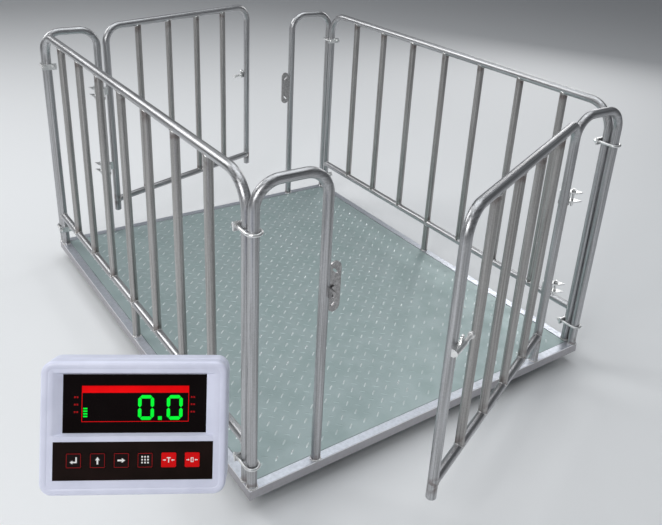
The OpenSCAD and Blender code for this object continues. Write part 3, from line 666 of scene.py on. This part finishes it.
def face_plate():
    """The face as heights over a grid.

    It is flat, slopes down to the window under its hood, and is cut away under the key
    panel. The slope falls with the smallest of the distances in from the hood's edges."""
    flat, window_floor, panel_floor = -0.0008, -0.0096, -0.0082
    hood_x, hood_low, hood_high = 0.1315, -0.0125, 0.0915
    win_x, win_low, win_high = 0.1158, -0.0097, 0.0877
    pan_x, pan_low, pan_high = 0.1284, -0.0846, -0.0214
    e = 0.00012
    half = np.unique(np.concatenate([np.linspace(win_x, hood_x, 7),
                                     [0.0, 0.06, win_x - e, pan_x, pan_x + e, 0.1385]]))
    xs = np.unique(np.concatenate([-half, half]))
    ys = np.unique(np.concatenate([[-0.0985, pan_low - e, pan_low, pan_high, pan_high + e, win_low + e,
                                    win_high - e, 0.0985], np.linspace(hood_low, win_low, 4),
                                   np.linspace(win_high, hood_high, 4), [0.02, 0.05, -0.05]]))
    x, y = np.meshgrid(xs, ys, indexing="ij")
    fall = np.minimum.reduce([(hood_x - abs(x)) / (hood_x - win_x), (y - hood_low) / (win_low - hood_low),
                              (hood_high - y) / (hood_high - win_high)])
    z = flat + (-0.0088 - flat) * np.clip(fall, 0, 1)
    z = np.where((abs(x) < win_x - e / 2) & (y > win_low + e / 2) & (y < win_high - e / 2), window_floor, z)
    z = np.where((abs(x) < pan_x + e / 2) & (y > pan_low - e / 2) & (y < pan_high + e / 2), panel_floor, z)
    return np.stack([x, y, z], -1).reshape(-1, 3), list(grid_quads(len(xs), len(ys))[:, ::-1])


def rear_tub():
    """The rear shell's side, rounded back edge and shallow stepped back."""
    fillet = [(rise, back + inset) for inset, rise in quarter(back_edge_r)]
    profile = [(0.004, split - 0.0002), (0.0006, split - 0.0002), (0.0006, split - 0.0010),
               (0.0, split - 0.0016)]
    profile += fillet + [(0.014, back), (0.0150, back + 0.0012), (0.0195, back + 0.0012)]
    points, faces = framed(shell_w, shell_h, shell_r, profile, cap_last=True)
    return points, [np.asarray(f)[::-1] for f in faces]


def hinge_lug(low):
    """One lug of the tilt hinge, from low: square at the shell and half round about the pivot."""
    a = np.linspace(0, np.pi, 16)
    outline = [(lug_r * math.cos(v), -pivot_depth - lug_r * math.sin(v)) for v in a]
    root = lug_r - 0.001
    points, faces = slabs([outline + [(-root, back + 0.001), (root, back + 0.001)]], low, low + lug_t)
    return points[:, [2, 0, 1]], faces


def on_face(shape):
    """A shape moved from the indicator's own axes to its place."""
    points, faces = shape
    return moved(points, face_place), faces


front = piece("indicator_front", on_face(merged([front_rim(), face_plate()])), shell_plastic, "indicator")
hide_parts("front_shell")
rear_shape = merged([rear_tub(), hinge_lug(-lug_gap - lug_t), hinge_lug(lug_gap)])
rear = piece("indicator_rear", on_face(rear_shape), shell_plastic, "indicator",
             recalculate=True)
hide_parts("rear_shell")


def rectangle(x0, y0, x1, y1):
    """Corners of a rectangle."""
    return [(x0, y0), (x1, y0), (x1, y1), (x0, y1)]


def outline_bars(x0, y0, x1, y1, t):
    """Four thin bars round a rectangle."""
    return [rectangle(x0, y0, x1, y0 + t), rectangle(x0, y1 - t, x1, y1),
            rectangle(x0, y0 + t, x0 + t, y1 - t), rectangle(x1 - t, y0 + t, x1, y1 - t)]


def zero_digit(x0, y0, w, h, t):
    """Six of a digit's seven bars, each a flat six-sided bar with pointed ends; the middle one is dark."""
    g, k = 0.0005, t / 2
    x1, y1, ym = x0 + w, y0 + h, y0 + h / 2

    def flat_bar(y):
        return [(x0 + k + g, y), (x0 + t + g, y - k), (x1 - t - g, y - k), (x1 - k - g, y),
                (x1 - t - g, y + k), (x0 + t + g, y + k)]

    def upright_bar(x, low, high):
        return [(x, low + g), (x + k, low + k + g), (x + k, high - k - g), (x, high - g),
                (x - k, high - k - g), (x - k, low + k + g)]

    uprights = [upright_bar(x, low, high) for x in (x0 + k, x1 - k)
                for low, high in ((y0 + k, ym), (ym, y1 - k))]
    return [flat_bar(y0 + k), flat_bar(y1 - k)] + uprights


# the display: two digits with a point between them, a level gauge, a frame with a solid band
# along its top, and short legends either side of it
glass = -0.009
digit_w, digit_h, digit_t, digit_y = 0.0259, 0.0409, 0.0056, 0.012
digits = [shape for x in (0.0046, 0.0510) for shape in zero_digit(x, digit_y, digit_w, digit_h, digit_t)]
point = rectangle(0.0371, digit_y, 0.0434, 0.0179)
gauge = [rectangle(-0.0831, y, -0.0765, y + 0.0024) for y in (0.0169, 0.0212, 0.0255, 0.0298)]
green = digits + [point] + gauge
frame_left, frame_right, frame_low, frame_high, band_low = -0.0857, 0.0869, 0.0090, 0.0684, 0.0568
red = outline_bars(frame_left, frame_low, frame_right, frame_high, 0.0009)
red += [rectangle(frame_left, band_low, frame_right, frame_high)]
legend_w = 0.0028
legends = [rectangle(x, y - legend_w / 2, x + legend_w, y + legend_w / 2)
           for y in (0.0253, 0.0376, 0.0497) for x in (-0.0980, -0.0940, 0.0900, 0.0940)]
# the frame and legends carry a painted glow; only the digits and gauge are lit
for label, outlines, colour in (("display_digits", green, lit_green), ("display_frame", red, painted_glow_frame_red),
                                ("display_legends", legends, painted_glow_legend_red)):
    piece(label, on_face(slabs(outlines, glass - 0.0002, glass + 0.00015)), colour, "indicator",
          smooth=False)

# key tops: a thin outline and a plain sign on each, both print with a faint painted glow
key_pitch = 0.038
key_xs = [(i - 3.5) * key_pitch for i in range(1, 7)]
key_y, key_top = -0.0518, -0.0002
outline_w = 0.024


def arrow(x, y, size, turn):
    """An arrow about (x, y), pointing along +X before it is turned."""
    flat = size * np.array([(-1, -0.22), (0.1, -0.22), (0.1, -0.62), (1, 0), (0.1, 0.62), (0.1, 0.22),
                            (-1, 0.22)])
    c, d = math.cos(turn), math.sin(turn)
    return (flat @ np.array([[c, d], [-d, c]]) + (x, y)).tolist()


def ring_bars(x, y, w, h, t):
    """Four thin bars round the point (x, y)."""
    return outline_bars(x - w / 2, y - h / 2, x + w / 2, y + h / 2, t)


def key_sign(i, x, y):
    """Plain signs: enter, up, right, count, take away the pan's weight, back to nought."""
    if i == 1:
        return [arrow(x - 0.001, y - 0.0025, 0.0050, math.pi),
                rectangle(x + 0.0030, y - 0.0036, x + 0.0054, y + 0.0060)]
    if i == 2:
        return [arrow(x, y, 0.0062, math.pi / 2)]
    if i == 3:
        return [arrow(x, y, 0.0062, 0.0)]
    if i == 4:
        return [rectangle(x + dx, y + dy, x + dx + 0.0026, y + dy + 0.0026)
                for dx in (-0.0061, -0.0013, 0.0035) for dy in (-0.0052, -0.0004, 0.0044)]
    inner = [rectangle(x - 0.0008, y - 0.0042, x + 0.0008, y + 0.0030),
             rectangle(x - 0.0030, y + 0.0030, x + 0.0030, y + 0.0046)]
    if i == 6:
        inner = ring_bars(x, y, 0.0046, 0.0076, 0.0012)
    return inner + [arrow(x - 0.0066, y, 0.0026, 0.0), arrow(x + 0.0066, y, 0.0026, math.pi)]


for i, x in enumerate(key_xs, 1):
    body = f"pressed_key_{i}"
    sign = slabs(key_sign(i, x, key_y), key_top - 0.0001, key_top + 0.00012)
    piece(f"key_{i}_sign", on_face(sign), painted_glow_key_print, body, smooth=False)
    if i < 5:
        edge = [(0.0004, key_top - 0.0001), (0.0004, key_top + 0.0001), (0.0010, key_top + 0.0001),
                (0.0010, key_top - 0.0001), (0.0004, key_top - 0.0001)]
        outline = framed(outline_w, outline_w, 0.002, edge, middle=(x, key_y), steps=5)
        piece(f"key_{i}_outline", on_face(outline), painted_glow_key_outline, body, smooth=False,
              recalculate=True)

# back of the shell: a battery door and four screws
door_w, door_h, door_y = 0.150, 0.068, 0.056
screw_x, screw_y = 0.118, 0.078


def battery_door():
    """A plate with a small bevel round its edge, facing backwards."""
    bevel = [(0.0, back + 0.0014), (0.0, back + 0.0008), (0.0006, back + 0.0003), (0.0055, back + 0.0003)]
    points, faces = framed(door_w, door_h, 0.006, bevel, cap_last=True, middle=(0, door_y))
    return points, [np.asarray(f)[::-1] for f in faces]


def shell_screws():
    """Four screw heads, each a profile with a dished middle spun round its axis and turned to the back."""
    profile = [(0.0002, -0.0008), (0.0016, -0.0008), (0.0018, 0.0), (0.0030, -0.0001), (0.0036, -0.0008),
               (0.0037, -0.0016)]
    head, faces = revolved(profile, 24)
    points, faces = merged([(head + (x, y, 0), faces) for x in (-screw_x, screw_x)
                            for y in (-screw_y, screw_y)])
    return points * (1, 1, -1) + (0, 0, back + 0.0002), faces


piece("battery_door", on_face(battery_door()), shell_plastic, "indicator")
piece("shell_screws", on_face(shell_screws()), zinc, "indicator", recalculate=True)

# ---------------------------------------------------------------- floor, light, camera


def backdrop():
    """A pale floor that turns up on a quarter circle into a wall far behind, as heights over a grid."""
    reach, wall_y, wall_r = 9, 6, 3
    a = np.linspace(0.1, 1.57, 12)
    xs = np.linspace(-reach, reach, 3)
    ys = np.concatenate([[-reach, wall_y], wall_y + wall_r * np.sin(a)])
    rise = np.concatenate([np.zeros(2), wall_r * (1 - np.cos(a))])
    x, y = np.meshgrid(xs, ys, indexing="ij")
    points = np.stack([x, y, floor_z + np.broadcast_to(rise, x.shape)], -1).reshape(-1, 3)
    return points, list(grid_quads(len(xs), len(ys))[:, ::-1])


floor_mesh = bpy.data.meshes.new("studio_floor")
floor_points, floor_faces = backdrop()
floor_mesh.from_pydata(floor_points.tolist(), [], [list(map(int, f)) for f in floor_faces])
floor_mesh.polygons.foreach_set("use_smooth", np.ones(len(floor_mesh.polygons), bool))
floor = bpy.data.objects.new("studio_floor", floor_mesh)
bpy.context.scene.collection.objects.link(floor)
paper = bpy.data.materials.new("studio_paper")
paper.use_nodes = True
paper.node_tree.nodes["Principled BSDF"].inputs["Base Color"].default_value = (0.86, 0.87, 0.88, 1)
paper.node_tree.nodes["Principled BSDF"].inputs["Roughness"].default_value = 0.85
floor_mesh.materials.append(paper)

world = bpy.data.worlds.new("studio")
bpy.context.scene.world = world
world.use_nodes = True
world.node_tree.nodes["Background"].inputs["Color"].default_value = (0.86, 0.90, 0.96, 1)
world.node_tree.nodes["Background"].inputs["Strength"].default_value = 0.15


def softbox(name, place, size, power, colour=(1, 1, 1)):
    """A square area light at place, aimed at the middle of the pen."""
    light = bpy.data.lights.new(name, "AREA")
    light.shape, light.size, light.energy, light.color = "SQUARE", size, power, colour
    thing = bpy.data.objects.new(name, light)
    bpy.context.scene.collection.objects.link(thing)
    z = np.array(place, float) - (0, 0, 0.3)
    z /= np.linalg.norm(z)
    x = np.cross((0, 1, 0) if abs(z[2]) > 0.9 else (0, 0, 1), z)
    x /= np.linalg.norm(x)
    turn = np.eye(4)
    turn[:3, 0], turn[:3, 1], turn[:3, 2], turn[:3, 3] = x, np.cross(z, x), z, place
    thing.matrix_world = Matrix(turn)


softbox("back_light", (-2.4, 3.6, 3.2), 2.2, 78)
softbox("top_light", (0.3, 0.4, 4.2), 4.4, 100, (0.95, 0.98, 1))
softbox("left_light", (-3.0, -1.9, 2.3), 1.4, 50)
softbox("right_light", (3.9, 2.1, 1.9), 1.5, 24)

# The camera stands at the front left, above the fences and tipped a little. Its lens is
# a focal length over a frame 36 mm wide, and its middle is moved by shares of that width.
yaw, pitch, roll = (math.radians(v) for v in (36.988, 24.506, 3.716))
forward = np.array([math.sin(yaw) * math.cos(pitch), math.cos(yaw) * math.cos(pitch), -math.sin(pitch)])
level = np.array([math.cos(yaw), -math.sin(yaw), 0])
rise = np.cross(level, forward)
camera_x = level * math.cos(roll) + rise * math.sin(roll)
camera_y = rise * math.cos(roll) - level * math.sin(roll)
stand = np.eye(4)
stand[:3, 0], stand[:3, 1], stand[:3, 2] = camera_x, camera_y, -forward
stand[:3, 3] = (-1.2598, -1.9495, 1.3768)
lens = bpy.data.cameras.new("camera")
lens.sensor_fit, lens.sensor_width, lens.lens = "HORIZONTAL", 36.0, 41.165
lens.shift_x, lens.shift_y = -0.0288, -0.0823
lens.clip_start, lens.clip_end = 0.05, 60
camera = bpy.data.objects.new("camera", lens)
bpy.context.scene.collection.objects.link(camera)
camera.matrix_world = Matrix(stand)
bpy.context.scene.camera = camera
bpy.context.scene.view_settings.view_transform = "Standard"
